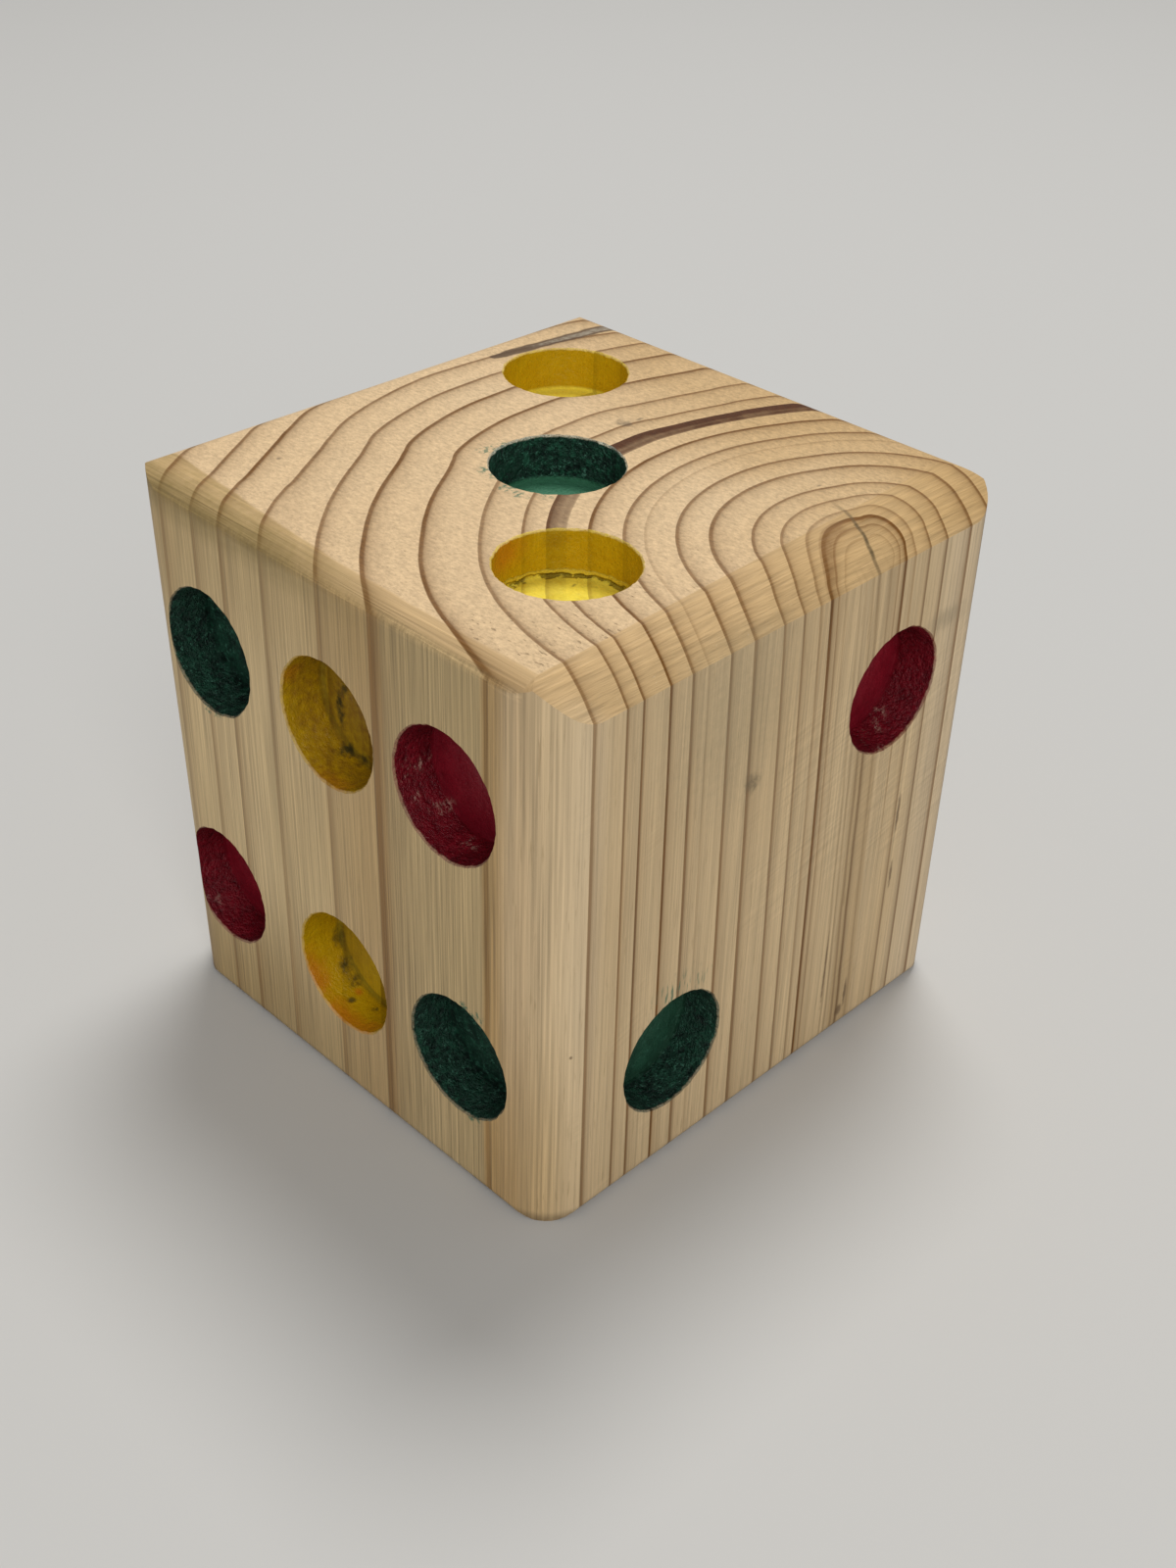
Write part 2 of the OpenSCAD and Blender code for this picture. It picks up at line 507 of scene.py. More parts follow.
def new_material(name):
    """A new material that uses nodes."""
    material = bpy.data.materials.new(name)
    material.use_nodes = True
    return material


# ---------------------------------------------------------------- wood

# Where the pith meets the top, and the way the crack runs from it
PITH = (43.5, 15.0)
CRACK_ANGLE = math.radians(19)
# How far the pith has moved along +Y at the bottom, and how much of that the rings follow,
# by distance from the pith and by y
PITH_DRIFT = 3.3
FOLLOW_OUT = [(15, 1), (34, 0.5), (52, 0.1), (75, 0)]
FOLLOW_BACK = [(6, 1), (26, 0.3)]

# How dark a yearly ring is, inwards from its outer line, over its fade
RING_SHADE = [
    (0, 0), (0.015, 0.75), (0.04, 1), (0.13, 0.97), (0.19, 0.64), (0.27, 0.44), (0.42, 0.29),
    (0.7, 0.12), (1, 0),
]
# Outer radius, fade and strength of each ring, from the pith
YEARS = [
    (4.0, 2.0, 0.3), (5.6, 2.0, 0.4), (7.2, 4.2, 0.95), (9.3, 3.0, 0.6), (12.6, 2.8, 0.75),
    (16.4, 3.0, 0.8), (22.0, 4.0, 0.85), (26.4, 3.4, 0.85), (30.5, 2.4, 0.35), (33.3, 3.4, 0.85),
    (38.0, 3.8, 1.0), (44.5, 3.6, 0.9), (48.2, 3.2, 0.85), (54.0, 3.6, 0.8), (61.6, 4.2, 0.95),
    (69.0, 4.4, 0.95), (74.8, 3.8, 0.85), (80.3, 3.6, 0.85), (87.0, 4.0, 0.95), (91.9, 3.6, 0.85),
    (98.2, 4.0, 0.85), (103.5, 3.4, 0.7),
]
# The wide dark ring: its outer radius and width, how dark it is across that width, and how dark it
# is by angle about the pith
WIDE_RING = 44.5
WIDE_RING_WIDTH = 3.4
WIDE_RING_SHADE = [
    (0, 0), (0.03, 1), (0.25, 1), (0.45, 0.94), (0.62, 0.8), (0.78, 0.88), (0.9, 0.8), (1, 0),
]
WIDE_RING_AROUND = [(-70, 0), (-55, 0.12), (-47, 0.45), (-40, 0.66), (-20, 0.78), (2, 1), (60, 1)]
# How far the rings stand out from circles, by angle about the pith: close to it, half way and far out
NEAR_BEND = [
    (-90, 3.0), (-85, 2.7), (-75, 1.8), (-60, 1.1), (-30, 0.4), (0, 0), (25, 0.1), (35, 0.6),
    (45, 1.1), (55, 1.3), (65, 1.2), (75, 0.8), (83, -0.1), (90, -0.8),
]
FAR_BEND = [
    (-90, -1.0), (-75, -1.0), (-60, -0.8), (-45, -1.3), (-33, -1.2), (-25, -0.3), (-18, 0.7),
    (-13, 0.7), (-5, 0.2), (0, 0), (5, -0.6), (15, -1.5), (25, -0.7), (35, 0.2), (45, 0.8),
]
RIM_BEND = [
    (-60, 0), (-48, 1.0), (-42, 0.7), (-37, 0), (-33, -0.5), (-25, 0.1), (-15, 1.2), (0, 0.3), (20, -1.2),
]
# Radii over which the first of these gives way to the second, and the second to the third
NEAR_TO_FAR = (36, 50)
FAR_TO_RIM = (76, 80)
# Dark strands beside the pith on the right side, by distance past it
STRANDS = [
    (-5, 0), (-4.1, 0), (-3.7, 0.5), (-3.35, 0), (-3.05, 0), (-2.65, 0.6), (-2.25, 0.15), (-1.5, 0.1),
    (-1.0, 0.72), (-0.65, 0.2), (-0.25, 0.2), (0.1, 1), (0.35, 0.9), (0.75, 0.15), (1.3, 0.05),
    (2.2, 0.05), (2.65, 0.55), (3.1, 0.15), (4.2, 0),
]
# Middle and half width of the streak of bark, by y
BARK_MIDDLE = [(19, -36.2), (27, -35.2), (35, -34.2), (44, -33.0)]
BARK_WIDTH = [(18.5, 0), (20, 1.0), (24, 1.3), (30, 1.2), (38, 1.5), (44.5, 1.7)]
# Where the right band starts on the top at the front, and how much sooner it starts further back
BAND_START = 37.9
BAND_WIDENS = 0.0438

# Dark ticks on the right side: middle and reach
TICKS = (
    ((43.5, 28.0, 37.5), (2, 0.5, 4.5)),
    ((43.5, 28.3, 26.0), (2, 0.45, 3.5)),
    ((43.5, 20.2, 7.0), (2, 0.5, 3.5)),
    ((43.5, 19.0, 4.0), (2, 1.1, 1.4)),
    ((43.5, 14.2, 15.0), (2, 0.35, 10.0)),
    ((43.5, -39.5, 30.3), (2, 0.3, 0.4)),
)
# Specks on the top
SPECKS = (
    ((-28.5, -28.3, 87.5), (0.7, 0.5, 1)),
    ((-5.0, 16.5, 87.5), (1.6, 1.3, 1)),
    ((-4.5, 19.0, 87.5), (0.5, 1.0, 1)),
    ((27.5, 21.5, 87.5), (0.5, 0.7, 1)),
    ((-22, -40.5, 87.0), (0.4, 0.4, 1)),
)
# Green paint that strayed over the rims of green pips
STRAY_PAINT = (
    ((0.5, -11.0, 87.5), (3.2, 1.5, 1)),
    ((-5.8, -9.4, 87.5), (3.2, 1.6, 1)),
    ((-11.2, -3.6, 87.5), (1.6, 3.6, 1)),
    ((4.8, -8.9, 87.5), (1.6, 1.0, 1)),
    ((28.8, -44.5, 12.9), (2.0, 1, 1.2)),
    ((28.5, -44.5, 32.3), (3.8, 1, 1.0)),
    ((-26.5, -44.5, 53.8), (2.5, 1, 0.9)),
)

SIDE_WOOD = (0.67, 0.495, 0.282)
END_WOOD = (0.715, 0.51, 0.29)
FRONT_LEFT_WOOD = (0.69, 0.515, 0.275)
FRONT_RIGHT_WOOD = (0.56, 0.385, 0.185)
PAINTED_BACK_LIGHT = (0.76, 0.60, 0.40)
TAWNY_WOOD = (0.565, 0.37, 0.168)
CREAM_WOOD = (0.72, 0.545, 0.335)
FRONT_SHADE_AND_DARK_WOOD = (0.34, 0.225, 0.085)
RIGHT_BAND_WOOD = (0.57, 0.37, 0.16)
FRONT_BAND_WOOD = (0.57, 0.375, 0.165)
OLIVE_WOOD = (0.36, 0.25, 0.085)
GREY_GREEN_WOOD = (0.53, 0.45, 0.26)
BROWN_WOOD = (0.54, 0.34, 0.14)
BROWN_LINE = (0.26, 0.145, 0.05)
PALE_EDGE_AND_LIGHT = (0.80, 0.63, 0.41)
LATE_WOOD = (0.178, 0.073, 0.012)
WIDE_LATE_WOOD = (0.088, 0.027, 0.005)
PITH_WOOD = (0.40, 0.24, 0.09)
STRAND = (0.155, 0.078, 0.025)
HEART = (0.27, 0.14, 0.05)
CRACK = (0.14, 0.095, 0.042)
PORE = (0.36, 0.25, 0.125)
PIT = (0.30, 0.19, 0.10)
TORN_FIBRE = (0.84, 0.73, 0.56)
BARK = (0.10, 0.058, 0.032)
PALE_BARK = (0.42, 0.36, 0.27)
KNOT = (0.12, 0.09, 0.05)
TICK = (0.15, 0.09, 0.045)
SMUDGE = (0.36, 0.29, 0.17)
SMEAR = (0.28, 0.22, 0.14)
SCORCH = (0.28, 0.20, 0.075)
SPECK = (0.10, 0.075, 0.05)
FOOT_DIRT_AND_SHADE = (0.13, 0.085, 0.042)
STRAY_GREEN = (0.045, 0.16, 0.10)


class Wood:
    """The bare wood anywhere in the block: its colour, roughness and height."""

    def __init__(self, g):
        self.g = g
        self.x, self.y, self.z = g.split(g.place)
        # how squarely the surface faces up or down, and from that whether it is a sawn end or a side
        self.up = g.math("ABSOLUTE", g.split(g.normal)[2])
        self.end = g.rise(self.up, 0.35, 0.8)
        self.side = 1.0 - self.end
        self.front = g.rise(self.y, LO.y + 6.0, LO.y + 1.5) * self.side
        self.right = g.rise(self.x, 40.5, 41.5) * self.side
        self.find_rings()
        self.find_grain()
        self.find_bands()
        self.paint_ground()
        self.paint_bands()
        self.paint_front_zones()
        self.paint_rings()
        self.paint_grain()
        self.paint_torn_fibres()
        self.paint_bark()
        self.paint_pith()
        self.paint_right_marks()
        self.paint_scratches()
        self.paint_scorch()
        self.paint_specks()
        self.paint_foot()
        self.paint_stray()

    def layer(self, amount, colour):
        """Lays a colour over what is there."""
        self.colour = self.g.mix(self.g.clamp(amount), self.colour, colour)

    def shade(self, amount):
        """Lightens or darkens everything by a share."""
        shade = amount + 1.0
        self.colour = self.g.mix(1.0, self.colour, self.g.vector(shade, shade, shade), "MULTIPLY")

    def find_rings(self):
        """Distance out from the pith along the rings, the angle about it in degrees, and the late wood."""
        g = self.g
        depth = g.clamp((HI.z - self.z) / (HI.z - LO.z))
        flat = g.length(g.vector(self.x - PITH[0], self.y - PITH[1], 0.0))
        follow = g.curve(flat, FOLLOW_OUT) * g.curve(self.y, FOLLOW_BACK)
        drift = g.math("POWER", depth, 0.7) * PITH_DRIFT
        self.past_pith = self.y - PITH[1] - drift
        dx = PITH[0] - self.x
        dy = self.y - PITH[1] - drift * follow
        radius = g.length(g.vector(dx, dy, 0.0))
        self.angle = g.math("ARCTAN2", dy, dx) * (180 / math.pi)
        near, far, rim = (g.curve(self.angle, bend) for bend in (NEAR_BEND, FAR_BEND, RIM_BEND))
        out = g.rise(radius, *NEAR_TO_FAR)
        edge = g.rise(radius, *FAR_TO_RIM)
        bend = near * (1.0 - out) + (far * (1.0 - edge) + rim * edge) * out
        self.radius = radius - bend + g.noise(26, (1, 1, 4)) * 0.2 + g.noise(3.0, (1, 1, 12)) * 0.05
        total = 0.0
        for outer, fade, strength in YEARS:
            shade = g.curve((outer - self.radius) * (1 / fade), RING_SHADE, "VECTOR")
            total = shade * strength + total
        # lines look crisp on the right side, softer on top and widest on the front
        crisp = g.rise(self.x, 37.0, 42.0) * self.side * 0.35 + self.end * 0.1 + 1.15
        self.late = g.math("POWER", total, crisp) * (g.noise(9, (1, 1, 5), shift=4.0) * 0.15 + 1.0)

    def find_grain(self):
        """Fine fibres down the sides, and the speckle and pits of the sawn ends."""
        g = self.g
        self.fibre = g.noise(0.42, (1, 1, 90), detail=2, rough=0.7)
        self.streak = g.noise(1.5, (1, 1, 40), detail=3, rough=0.6, shift=2.0)
        self.dust = g.noise(0.5, (1.8, 1, 3), detail=3, rough=0.75)
        where = g.rise(g.noise(7, detail=1, shift=1.0) * 0.7 + self.x * 0.03 - self.y * 0.02, 0.3, 1.9)
        pitted = g.noise(0.5, (2.6, 1, 3), detail=2, rough=0.5, shift=17.0) + where * 0.45
        self.pits = g.rise(pitted, 0.75, 1.1)

    def find_bands(self):
        """The sanded bands along the top edges, and what they leave of the sides and ends."""
        g = self.g
        x, y, z = self.x, self.y, self.z
        self.crease = x + (y - LO.y) * BAND_WIDENS - BAND_START
        tilted = g.rise(self.up + g.ragged * 0.12, 0.08, 0.4)
        self.right_band = g.rise(self.crease, -0.15, 0.15) * tilted * g.rise(z, 60.0, 62.0)
        wider = g.noise(5, (4, 1, 1), shift=19.0) * 0.8 + g.math("MAXIMUM", x * -0.09, 0.0)
        self.front_band = g.rise(y - LO.y - wider, 3.5, 2.9) * g.rise(z, 84.2, 85.4)
        self.front_band = self.front_band * g.rise(self.crease, 0.15, -0.15)
        self.plain_side = self.side * (1.0 - self.right_band)
        self.plain_end = self.end * (1.0 - self.right_band) * (1.0 - self.front_band)

    def paint_ground(self):
        """Plain wood with broad paler and darker parts, painted shade low on the front and painted light at
        the back.
        """
        g = self.g
        x, y, z = self.x, self.y, self.z
        broad = g.noise(24, (1, 1, 2.5), shift=9.0)
        self.colour = g.mix(self.end, SIDE_WOOD, END_WOOD)
        self.layer(self.front, g.mix(g.rise(x, -6.0, 9.0), FRONT_LEFT_WOOD, FRONT_RIGHT_WOOD))
        self.layer(broad * 0.3 + self.end * ((y - 6.0) * 0.024 + x * 0.009), TAWNY_WOOD)
        self.layer(broad * -0.4 - 0.05, CREAM_WOOD)
        # painted shade: the front darkens towards its foot, most on the left, and is a little darker near
        # its top
        low = g.rise(z, 34.0, 5.0) * g.rise(x, 22.0, -20.0) * 0.58
        self.layer(self.front * (g.rise(z, 60.0, 84.0) * 0.3 + low), FRONT_SHADE_AND_DARK_WOOD)
        # painted light: the sides are paler towards the back, standing in for light reflected there
        self.layer(g.rise(y, 26.0, 36.0) * self.side * 0.6, PAINTED_BACK_LIGHT)

    def paint_bands(self):
        """The bands are more amber, and the front one is olive towards the left."""
        g = self.g
        self.layer(self.right_band * 0.65, RIGHT_BAND_WOOD)
        self.layer(self.front_band * 0.6, FRONT_BAND_WOOD)
        self.layer(self.front_band * g.rise(self.x, 14.0, -12.0) * (g.ragged * 0.3 + 0.4), OLIVE_WOOD)

    def paint_front_zones(self):
        """Down the front: a grey-green zone, a brown zone with a dark line, and the front edge, paler wood
        with a painted highlight.
        """
        g = self.g
        x, y, z = self.x, self.y, self.z
        self.layer(g.band(self.radius, 61.7, 67.5, 0.6) * self.front * 0.3, GREY_GREEN_WOOD)
        wavy_x = x + g.noise(14, (1, 1, 2), shift=24.0) * 0.5
        self.brown = g.band(wavy_x, 31.7, 37.0, 1.0) * g.rise(y, LO.y + 7.0, LO.y + 3.0)
        self.brown = self.brown * g.rise(self.up, 0.75, 0.3)
        self.layer(self.brown * (self.streak * 0.35 + 0.75), BROWN_WOOD)
        self.layer(g.band(wavy_x, 31.8, 32.3, 0.45) * self.brown * 0.75, BROWN_LINE)
        # the front right edge is paler wood and also a painted highlight, which fades towards its foot
        edge = g.rise(x - y, 77.5, 81.0) * self.side
        self.layer(edge * (g.rise(z, 5.0, 45.0) * 0.4 + 0.1), PALE_EDGE_AND_LIGHT)

    def paint_rings(self):
        """Late wood, fainter on the front and low down beside the pith, and the wide dark ring."""
        g = self.g
        by_pith = g.band(self.past_pith, -4.6, 6.6, 0.5) * self.right
        lines = self.late * (1.0 - self.brown * 0.9)
        lines = lines * (1.0 - by_pith * g.rise(self.z, 66.0, 50.0) * 0.9)
        faint = self.front * (0.42 - g.band(self.x, 8.0, 16.0, 4.0) * 0.2)
        self.layer(lines * (1.0 - faint), LATE_WOOD)
        wide = g.curve((WIDE_RING - self.radius) * (1 / WIDE_RING_WIDTH), WIDE_RING_SHADE)
        around = g.curve(self.angle, WIDE_RING_AROUND)
        uneven = g.noise(3, (1, 1, 6), detail=3, shift=5.0) * 0.2 + 1.02
        self.layer(wide * around * uneven, WIDE_LATE_WOOD)

    def paint_grain(self):
        """Fibres, pores, speckle and pits, and the long scratches of the bands."""
        g = self.g
        along_front = g.noise(0.5, (45, 1, 1), detail=2, rough=0.65, shift=8.0) * self.front_band
        along_right = g.noise(0.5, (1, 16, 1.6), detail=2, rough=0.65, shift=8.0) * self.right_band
        along = along_front + along_right
        strong = self.front * g.band(self.x, 15.0, 31.0, 4.0)
        grain = self.fibre * (self.front * 0.2 + strong * 0.2 + 0.30) + self.streak * 0.08
        self.shade(grain * self.plain_side + self.dust * self.plain_end * 0.42 + along * 0.28)
        pores = g.rise(g.noise(0.42, (1, 1, 14), detail=2, rough=0.6, shift=33.0), 0.25, 0.7)
        self.layer(pores * self.plain_side * 0.45, PORE)
        self.layer(self.pits * self.plain_end * 0.6, PIT)
        relief = self.fibre * self.plain_side * 0.05 + self.dust * self.plain_end * 0.06
        self.height = relief - self.pits * self.plain_end * 0.12 + along * 0.08
        self.rough = g.clamp(0.60 + self.fibre * 0.08 - self.late * 0.1)

    def paint_torn_fibres(self):
        """Pale torn fibres where the right band meets the side."""
        g = self.g
        torn = g.rise(g.noise(0.6, (1, 2.2, 1), detail=3, rough=0.7, shift=27.0), 0.35, 0.8)
        torn = torn * g.band(self.z, 81.4, 83.2, 1.0)
        self.layer(torn * g.rise(self.crease, 2.0, 3.0) * g.rise(self.y, 10.0, -20.0) * 0.7, TORN_FIBRE)

    def paint_bark(self):
        """Bark trapped in one ring at the back left of the sawn ends, paler along its middle."""
        g = self.g
        off = self.x - g.curve(self.y, BARK_MIDDLE) + g.noise(3, detail=3, shift=7.0) * 0.45
        within = g.curve(self.y, BARK_WIDTH) - g.math("ABSOLUTE", off)
        self.layer(g.rise(within, -0.1, 0.45) * self.end * 0.9, BARK)
        pale = g.rise(within, 0.55, 1.0) * g.rise(self.y, 25.0, 30.0) * (g.noise(0.9, detail=3) * 0.6 + 0.5)
        self.layer(pale * self.end, PALE_BARK)

    def paint_pith(self):
        """The strands down the right side, and the heart and the crack on the top."""
        g = self.g
        below = g.rise(self.z, 66.0, 48.0)
        beside = g.band(self.past_pith, -1.4, 3.2, 0.6) * self.right
        self.layer(beside * (below * 0.2 + 0.1) * (self.streak * 0.5 + 0.9), PITH_WOOD)
        wander = g.noise(9, (1, 1, 2)) * 0.3
        shake = g.noise(1.5, (1, 1, 8), shift=6.0) * 0.12
        strands = g.curve(self.past_pith + wander + shake, STRANDS, "VECTOR") * (below * 0.3 + 0.7)
        self.layer(strands * self.right * (g.noise(7, (1, 1, 3), shift=3.0) * 0.25 + 0.75), STRAND)

        heart = g.band(self.radius, 5.4, 7.3, 0.35) * g.rise(self.angle, 6.0, -12.0)
        heart = heart * (1.0 - self.right) * g.rise(self.z, 78.0, 80.0)
        self.layer(heart * (g.ragged * 0.25 + 0.5), HEART)

        off = (PITH[0] - self.x) * math.sin(CRACK_ANGLE) - self.past_pith * math.cos(CRACK_ANGLE)
        off = g.math("ABSOLUTE", off + g.noise(4) * 0.4)
        crack = g.rise(off, 0.5, 0.1) * g.rise(self.radius, 13.5, 9.5)
        crack = crack * g.rise(self.z, 79.0, 81.0) * (1.0 - self.right)
        fading = g.rise(self.radius, 12.0, 3.0) * 0.5 + g.ragged * 0.3 + 0.35
        self.layer(crack * fading, CRACK)

    def paint_right_marks(self):
        """A knot, ticks, a broad smudge and a smear on the right side."""
        g = self.g
        blotchy = g.noise(0.8, detail=4, rough=0.7, shift=12.0)
        knot = g.spot((43.5, -7.5, 59.5), (3, 2.2, 2.4), soft=0.8)
        self.layer(knot * (blotchy * 0.7 + 0.5), KNOT)
        for at, reach in TICKS:
            self.layer(g.spot(at, reach, soft=0.7, ragged=0.3) * 0.75, TICK)
        smudge = g.spot((43.5, -12.0, 73.0), (3, 18, 22), soft=0.9)
        self.layer(smudge * (blotchy * 0.2 + 0.32), SMUDGE)
        self.layer(g.spot((43.5, 33.0, 69.0), (3, 7, 2.6), soft=0.9) * 0.4, SMEAR)

    def paint_scratches(self):
        """Fine slanting marks of sanding on the right side."""
        g = self.g
        x, y, z = self.x, self.y, self.z
        slant = g.vector(x, y * 0.96 + z * 0.27, z * 0.96 - y * 0.27)
        most = g.band(y, 2.0, 38.0, 6.0) * g.band(z, 38.0, 62.0, 9.0)
        where = g.rise(g.noise(12, shift=14.0) + most * 0.9, 0.1, 0.8)
        scratches = g.noise(0.5, (1, 26, 1), detail=2, place=slant) * self.right * where
        self.shade(scratches * 0.16)
        self.height = self.height + scratches * 0.03

    def paint_scorch(self):
        """The scorched strip under the front band."""
        g = self.g
        x, y, z = self.x, self.y, self.z
        strip = g.rise(z + x * 0.02, 80.0, 84.5) * g.rise(x, 22.0, -20.0) * g.rise(y, LO.y + 3.5, LO.y + 1.5)
        self.layer(strip * (g.noise(2.5, (4, 1, 1), detail=3, shift=3.0) * 0.4 + 0.55), SCORCH)

    def paint_specks(self):
        """Small dark specks on the top."""
        for at, reach in SPECKS:
            self.layer(self.g.spot(at, reach, soft=0.8, ragged=0.6) * 0.6, SPECK)

    def paint_foot(self):
        """Dirt and painted shade along the foot of every side, where it turns under."""
        # dirt and painted shade where the round-over turns under
        self.layer(self.g.rise(self.z, 2.0, 0.3) * (self.g.ragged * 0.2 + 0.6), FOOT_DIRT_AND_SHADE)

    def paint_stray(self):
        """Green paint that ran up the grain above the right side's green pip, and blots by other rims."""
        g = self.g
        hairs = g.rise(g.noise(0.5, (1, 1, 6), detail=3, shift=21.0), 0.0, 0.45)
        run = g.spot((43.5, -19.5, 30.2), (3, 8.5, 4.4), soft=0.8, ragged=0.3) * self.side
        stray = run * hairs
        blots = g.rise(g.noise(0.8, detail=3, rough=0.65, shift=31.0), -0.1, 0.3)
        for at, reach in STRAY_PAINT:
            stray = stray + g.spot(at, reach, soft=0.6, ragged=0.5) * blots
        self.layer(stray * 0.85, STRAY_GREEN)


def wood_group():
    """The bare wood as a node group, which every material shares."""
    tree = bpy.data.node_groups.new("wood", "ShaderNodeTree")
    wood = Wood(Graph(tree))
    output = tree.nodes.new("NodeGroupOutput")
    for name, kind, value in (("Colour", "Color", wood.colour), ("Roughness", "Float", wood.rough),
                              ("Height", "Float", wood.height)):
        tree.interface.new_socket(name, in_out="OUTPUT", socket_type="NodeSocket" + kind)
        tree.links.new(value.socket, output.inputs[name])
    return tree


def bare_wood(g, tree):
    """Colour, roughness and height of the bare wood, in another graph."""
    node = g.tree.nodes.new("ShaderNodeGroup")
    node.node_tree = tree
    return [Num(g, output) for output in node.outputs]


def pine(wood):
    """Bare wood, without paint."""
    material = new_material("pine")
    g = Graph(material.node_tree)
    g.shader(*bare_wood(g, wood), specular=0.2)
    return material


# ---------------------------------------------------------------- paint

class Paint:
    """Paint brushed into the drilled pips: colour, then blots, flecks and bare patches laid over it."""

    def __init__(self, name, wood, deep, full, blots, cover, grit):
        self.material = new_material(name)
        self.g = g = Graph(self.material.node_tree)
        self.bare, _, self.bare_height = bare_wood(g, wood)

        # where in its pip a point is, and the same moved by the pip's seed, for noise
        pip = g.add("ShaderNodeAttribute", {}, out=1, attribute_name="pip_place")
        seed = g.add("ShaderNodeAttribute", {}, out=2, attribute_name="pip_seed")
        across, down, self.pip_z = g.split(pip)
        self.from_axis = g.length(g.vector(across, down, 0.0))
        self.pip = g.moved(pip, g.vector(seed * 31.0, seed * 17.0, 0.0))
        self.floor = g.rise(self.pip_z, -PIP_DEPTH + 0.9, -PIP_DEPTH + 0.3)
        self.wall = 1.0 - self.floor
        self.on_top = g.rise(g.split(g.place)[2], 77.0, 79.0)

        self.blot = self.noise(3.0, rough=0.6)
        self.speck = self.noise(0.8, rough=0.75, shift=3.0)
        gritty = self.speck * (self.wall * 0.8 + 0.3)
        # painted light: the floors of the top's pips are made lighter
        brushed = self.blot * blots + gritty * blots + self.floor * self.on_top * 0.4 + 0.4
        self.colour = g.mix(g.clamp(brushed), deep, full)
        self.layer(1.0 - cover, g.mix(1.0, full, self.bare, "MULTIPLY"))
        # painted shade in the corner where the floor meets the wall
        corner_shade = g.band(self.from_axis + self.blot * 0.15, PIP_R - 0.6, PIP_R - 0.1, 0.4) * self.floor
        self.layer(corner_shade * 0.7, tuple(c * 0.35 for c in deep))
        self.height = self.blot * 0.08 + gritty * grit

    def noise(self, size, detail=3, rough=0.5, shift=0.0):
        """Noise that differs from pip to pip."""
        return self.g.noise(size, detail=detail, rough=rough, place=self.pip, shift=shift)

    def layer(self, amount, colour):
        """Lays a colour over what is there."""
        amount = self.g.clamp(amount) if isinstance(amount, Num) else amount
        self.colour = self.g.mix(amount, self.colour, colour)

    def finish(self, rim, rough, gloss):
        """Adds the rim, where bare wood and lumps of the rim colour show, and makes the material."""
        g = self.g
        lumps = self.noise(1.1, rough=0.6, shift=6.0)
        chip = g.rise(self.pip_z + lumps * 0.3, -0.40, -0.12)
        lumpy = g.mix(g.clamp(lumps * 0.6 + self.on_top * 0.4 + 0.1), self.bare, rim)
        self.layer(chip * (self.on_top * 0.5 + 0.5), lumpy)
        rough = g.clamp(self.speck * 0.12 + self.blot * 0.06 + rough + chip * 0.25)
        g.shader(self.colour, rough, self.height + self.bare_height * 0.4, specular=0.3, coat=gloss)
        return self.material


def paint_green(wood):
    """Dark and gritty, with painted light making the floors of the top's pip and the lower right one mid
    green.
    """
    deep = (0.0025, 0.011, 0.008)
    full = (0.015, 0.072, 0.042)
    mid = (0.066, 0.250, 0.135)
    mottled = (0.026, 0.145, 0.082)
    flecked = (0.12, 0.34, 0.235)
    p = Paint("paint_green", wood, deep, full, blots=0.7, cover=0.99, grit=0.45)
    # painted light on the floors of the top's pip and the lower right one
    lower_right = p.g.spot((38.0, -20.0, 20.0), (9, 12, 12), soft=0.1)
    p.layer(p.floor * (p.on_top * 0.75 + lower_right * 0.2), mid)
    smooth = p.floor * (p.on_top + lower_right)
    mottle = p.g.rise(p.noise(1.3, rough=0.75, shift=4.0), -0.1, 0.45)
    p.layer(mottle * (1.0 - smooth) * (p.on_top * 0.4 + 0.4), mottled)
    fleck = p.g.rise(p.noise(0.75, rough=0.85, shift=11.0), 0.12, 0.5)
    p.layer(fleck * (1.0 - smooth * 0.6) * (p.on_top * 0.25 + 0.5), flecked)
    return p.finish(rim=(0.55, 0.60, 0.48), rough=0.45, gloss=0.08)


# Where the yellow paint is orange, where it is dirty and where it is dark: middle, reach and amount
ORANGE_SPOTS = (
    ((11.2, -22.5, 86.0), (4, 6, 4), 0.75),
    ((-6.7, -44.0, 16.0), (3.5, 3.5, 9), 0.9),
    ((0.0, -44.0, 12.6), (8, 3.5, 2.5), 0.9),
    ((5.4, -43.5, 13.2), (4, 3, 3), 0.7),
    ((0.8, -43.8, 54.8), (6, 3, 1.8), 0.6),
    ((-8.4, -43.2, 68.0), (2.5, 2.5, 3), 0.6),
    ((-2.7, -39.2, 12.8), (1, 1, 1), 0.9),
)
DIRTY_SPOTS = (
    ((0.5, -40.5, 64.0), (18, 9, 18), 0.88),
    ((1.0, -40.5, 21.8), (18, 9, 18), 0.06),
    ((-4.0, -37.5, 19.0), (6, 6, 7), 0.3),
    ((12.7, -14.3, 86.0), (2.5, 3, 2), 0.25),
)
DARK_SPOTS = (
    ((-5.3, -37.7, 61.2), (1.3, 1.5, 3.6), 1.0),
    ((-4.2, -37.6, 64.8), (0.9, 1, 1.6), 0.8),
    ((-3.3, -38.4, 55.6), (1.8, 2, 1.4), 0.9),
    ((-0.3, -38.0, 55.4), (1.6, 2, 1.0), 0.8),
    ((-8.3, -38.1, 19.6), (1.4, 1.6, 2.5), 0.6),
    ((-6.3, -38.7, 15.6), (1.6, 1.6, 1.8), 0.8),
    ((-4.1, -38.7, 13.8), (1.6, 1.6, 1.2), 0.7),
    ((-2.2, -41.0, 12.6), (0.9, 0.8, 0.6), 0.8),
    ((1.5, -39.4, 12.0), (0.8, 0.8, 0.6), 0.8),
    ((16.2, -14.4, 80.5), (0.4, 0.9, 0.5), 0.7),
)


